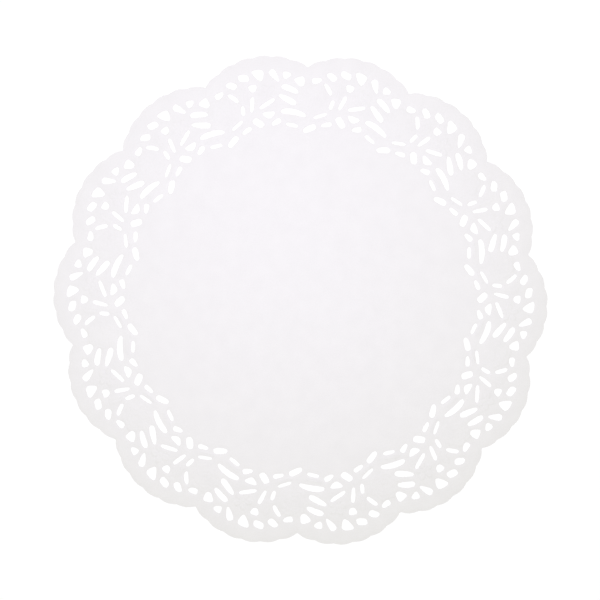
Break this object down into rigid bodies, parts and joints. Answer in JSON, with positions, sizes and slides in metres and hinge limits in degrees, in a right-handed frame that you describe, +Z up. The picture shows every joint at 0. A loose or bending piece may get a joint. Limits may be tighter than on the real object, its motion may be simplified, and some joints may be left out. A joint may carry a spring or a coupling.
{
  "type": "paper doily",
  "caption": "Round paper doily that lies flat: a plain middle inside a die-cut, embossed lace border with a scalloped edge.",
  "frame": {"origin": "middle of the underside, on the surface that the doily lies on", "axes": "+Z up out of the face that shows, +Y to a notch between two scallops, +X to the crown of a scallop"},
  "size_m": [0.2536, 0.2498, 0.001],
  "materials": {
    "paper": "matt white embossed paper"
  },
  "bodies": {
    "root": {"doily": "paper"}
  },
  "joints": []
}
